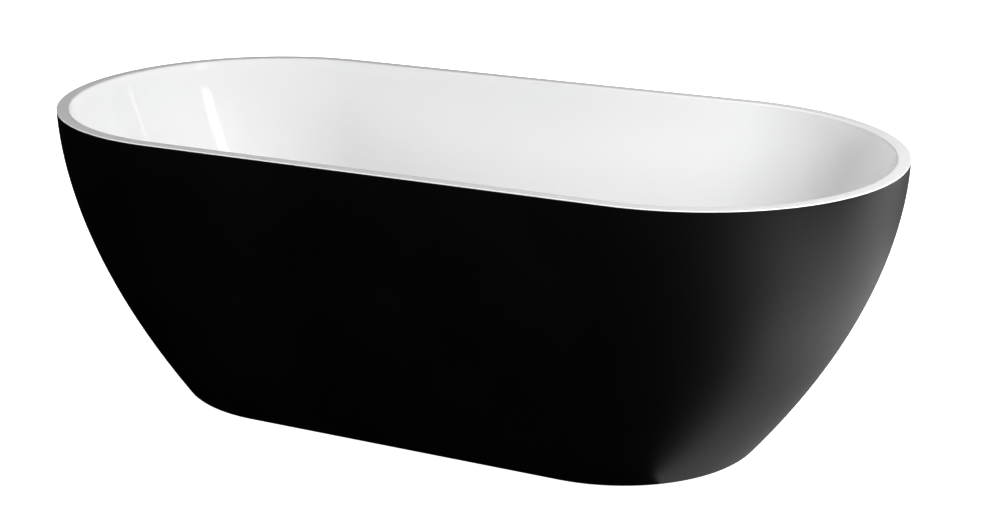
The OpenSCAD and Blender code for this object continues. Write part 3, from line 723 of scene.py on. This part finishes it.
# The hose runs down the space between the skins, then under the frame to the tee. Points are (y, z).
HOSE_TOP, HOSE_R, HOSE_BORE, TEE_INLET_Z = OVERFLOW_Z - 34.0, 12.5, 10.0, 85.0
HOSE_DROP, HOSE_STEP = 330, 30
RIB_PITCH, RIB_DEPTH, RIB_ROUND, CUFF = 5.0, 1.5, 0.7, 20.0


def between_skins(z):
    """Halfway across the space between the skins on the near side, at a height."""
    basin_back = half_width((BOND_TOP - z) / (BOND_TOP - UNDER)) + BASIN_T
    skin_inside = skin_size(z)[1] / 2 - SKIN_T
    return -(basin_back + skin_inside) / 2


HOSE = [(between_skins(HOSE_TOP - d), HOSE_TOP - d) for d in range(0, HOSE_DROP + 1, HOSE_STEP)] + [
    (-244, 108), (-219, 84), (-188, 65), (-153, 54), (-121, 57), (-96, 69), (-77, 80),
    (-60, TEE_INLET_Z), (-38, TEE_INLET_Z)]


def smooth_line(points, step):
    """A curve through the points, as positions a step apart, and how far along each is.

    Each stretch is a cubic that leaves and arrives along the chord past its end points.
    """
    points = np.array(points, float)
    ahead = np.vstack([points[:1] * 2 - points[1:2], points, points[-1:] * 2 - points[-2:-1]])
    t = np.linspace(0, 1, 24, endpoint=False)[:, None]
    run = []
    for a, b, c, d in zip(ahead, ahead[1:], ahead[2:], ahead[3:]):
        square, cube = 2 * a - 5 * b + 4 * c - d, 3 * b - a - 3 * c + d
        run.append(0.5 * (2 * b + (c - a) * t + square * t ** 2 + cube * t ** 3))
    run = np.vstack(run + [points[-1:]])
    along = np.concatenate([[0], np.cumsum(np.linalg.norm(np.diff(run, axis=0), axis=1))])
    want = np.linspace(0, along[-1], int(round(along[-1] / step)) + 1)
    return np.stack([np.interp(want, along, run[:, k]) for k in range(2)], 1), want


def ribbed_hose():
    """Ribbed between two plain cuffs."""
    line, along = smooth_line(HOSE, RIB_PITCH / 6)
    slope = np.gradient(line, axis=0)
    slope /= np.linalg.norm(slope, axis=1)[:, None]
    inside = np.minimum(along, along[-1] - along)
    ribs = (1 - np.cos(2 * math.pi * (along - CUFF) / RIB_PITCH)) / 2
    outer = HOSE_R - RIB_DEPTH * np.where(inside > CUFF, ribs ** RIB_ROUND, 0.0)
    angle = np.linspace(0, 2 * math.pi, 24, endpoint=False)

    def ring(i, r):
        x = r * np.cos(angle)
        y = line[i, 0] - slope[i, 1] * r * np.sin(angle)
        z = line[i, 1] + slope[i, 0] * r * np.sin(angle)
        return np.stack([x, y, z], 1) * MM
    rings = [ring(i, outer[i]) for i in range(len(line))]
    rings += [ring(i, HOSE_BORE) for i in range(len(line) - 1, -1, -3)]
    return stands_for(facing_out(to_object("overflow_hose_ribbed", *loft(rings), plastic_hose, sharp=60)),
                      "overflow_hose")


ribbed_hose()


# ---------------------------------------------------------------- stage
def either(nt, choice, no, yes):
    """One shader or the other, by a choice of 0 or 1."""
    mix = nt.nodes.new("ShaderNodeMixShader")
    nt.links.new(choice, mix.inputs[0])
    nt.links.new(no, mix.inputs[1])
    nt.links.new(yes, mix.inputs[2])
    return mix.outputs[0]


FLOOR_R, FLOOR_Z, FLOOR_STEPS, FLOOR_GLOW = 14000.0, -0.5, 128, 0.93


def pale_floor():
    """A pale disc just under the feet. From below it is clear, so that the underside can be looked at."""
    m, nt, bsdf, _ = nodes_of("floor_pale")
    bsdf.inputs["Base Color"].default_value = (0.9, 0.9, 0.9, 1)
    bsdf.inputs["Roughness"].default_value = 0.9
    bsdf.inputs["Specular IOR Level"].default_value = 0.0
    bsdf.inputs["Emission Color"].default_value = (1, 1, 1, 1)
    bsdf.inputs["Emission Strength"].default_value = FLOOR_GLOW
    side = nt.nodes.new("ShaderNodeNewGeometry")
    clear = nt.nodes.new("ShaderNodeBsdfTransparent")
    out = next(n for n in nt.nodes if n.type == "OUTPUT_MATERIAL")
    nt.links.new(either(nt, side.outputs["Backfacing"], bsdf.outputs[0], clear.outputs[0]), out.inputs[0])
    disc = round_outline(FLOOR_R, FLOOR_Z, FLOOR_STEPS)
    o = to_object("floor", disc, [tuple(range(FLOOR_STEPS))], m, smooth=False)
    o.visible_glossy = False
    return o


floor = pale_floor()


def backdrop(nt, strength):
    shade = nt.nodes.new("ShaderNodeBackground")
    shade.inputs["Color"].default_value = (1, 1, 1, 1)
    shade.inputs["Strength"].default_value = strength
    return shade


def studio(seen, fill, sky):
    """White to the camera, and an even dim fill to matt surfaces. Glossy ones see a sky from above only."""
    world = bpy.data.worlds.new("studio")
    scene.world = world
    world.use_nodes = True
    nt = world.node_tree
    nt.nodes.clear()
    out = nt.nodes.new("ShaderNodeOutputWorld")
    path = nt.nodes.new("ShaderNodeLightPath")
    coord = nt.nodes.new("ShaderNodeTexCoord")
    axes = nt.nodes.new("ShaderNodeSeparateXYZ")
    nt.links.new(coord.outputs["Generated"], axes.inputs[0])
    to_matt, to_gloss, to_camera = backdrop(nt, fill), backdrop(nt, sky), backdrop(nt, seen)
    nt.links.new(spread(nt, axes.outputs["Z"], 0.0, sky, 0.35, 0.75), to_gloss.inputs["Strength"])
    indirect = either(nt, path.outputs["Is Glossy Ray"], to_matt.outputs[0], to_gloss.outputs[0])
    nt.links.new(either(nt, path.outputs["Is Camera Ray"], indirect, to_camera.outputs[0]), out.inputs[0])


def softbox(name, place, aim, size, watts, diffuse=True, glossy=True):
    """A rectangular light that the camera doesn't see. It can be left out of matt or of glossy surfaces."""
    data = bpy.data.lights.new(name, "AREA")
    data.shape = "RECTANGLE"
    data.size, data.size_y = size
    data.energy = watts
    o = bpy.data.objects.new(name, data)
    scene.collection.objects.link(o)
    o.location = place
    o.rotation_euler = (Vector(aim) - Vector(place)).to_track_quat("-Z", "Y").to_euler()
    o.visible_camera = False
    o.visible_diffuse = diffuse
    o.visible_glossy = glossy


def around(azimuth, elevation):
    """A place on the ring of softboxes, by degrees round from +X and degrees up."""
    a, e = math.radians(azimuth), math.radians(elevation)
    return ROOM * math.cos(e) * math.cos(a), ROOM * math.cos(e) * math.sin(a), CENTRE + ROOM * math.sin(e)


def sheen(name, x, y, z, size, watts):
    """A panel on or near the floor that faces up and shows only in gloss."""
    softbox(name, (x, y, z), (x, y, 1.0), size, watts, diffuse=False)


studio(seen=1.0, fill=0.1, sky=0.8)
# Softboxes that light matt surfaces: a ring of six, strongest from the right, and one nearer on that side.
ROOM, CENTRE, AIM, BOX = 4.0, 0.55, (0.0, 0.1, 0.5), (1.2, 1.0)
softbox("right_high", around(-25, 32), AIM, BOX, 91, glossy=False)
softbox("right_low", around(-38, 14), AIM, BOX, 41, glossy=False)
softbox("back", around(110, 14), AIM, BOX, 42, glossy=False)
softbox("back_left", around(150, 14), AIM, BOX, 16, glossy=False)
softbox("left", around(180, 14), AIM, BOX, 27, glossy=False)
softbox("front_left", around(-150, 14), AIM, BOX, 38, glossy=False)
softbox("over_right", (1.5, 0.2, 1.45), (0.4, 0.0, 0.5), (0.8, 0.8), 9, glossy=False)
# The sheen on the black skin's right end, and a panel under the bath for the metal there to reflect.
sheen("sheen_foot", 0.70, 0.38, 0.001, (0.40, 1.24), 1.1)
sheen("sheen_near", 1.4, 0.33, 0.01, (1.0, 1.35), 6.3)
sheen("sheen_front", 1.9, -0.7, 0.02, (1.0, 0.8), 4.9)
sheen("sheen_mid", 1.95, 0.95, 0.02, (0.9, 1.1), 3.5)
sheen("sheen_far", 3.4, 2.75, 0.01, (2.0, 1.5), 130)
sheen("under", 0.0, 0.0, 0.002, (1.0, 0.42), 1.2)
# The streaks in the basin's left end.
softbox("strip", (2.57, -0.98, 2.6), (-0.72, 0.22, 0.45), (0.4, 2.05), 12, diffuse=False)
softbox("strip_foot", (2.57, -0.98, 0.68), (-0.74, 0.235, 0.55), (0.42, 0.45), 2.4, diffuse=False)
softbox("strip_faint", (2.1, 2.0, 1.35), (-0.8, 0.06, 0.48), (0.12, 0.9), 0.9, diffuse=False)
softbox("strip_fainter", (1.2, 2.87, 0.96), (-0.81, -0.01, 0.5), (0.1, 0.45), 0.24, diffuse=False)
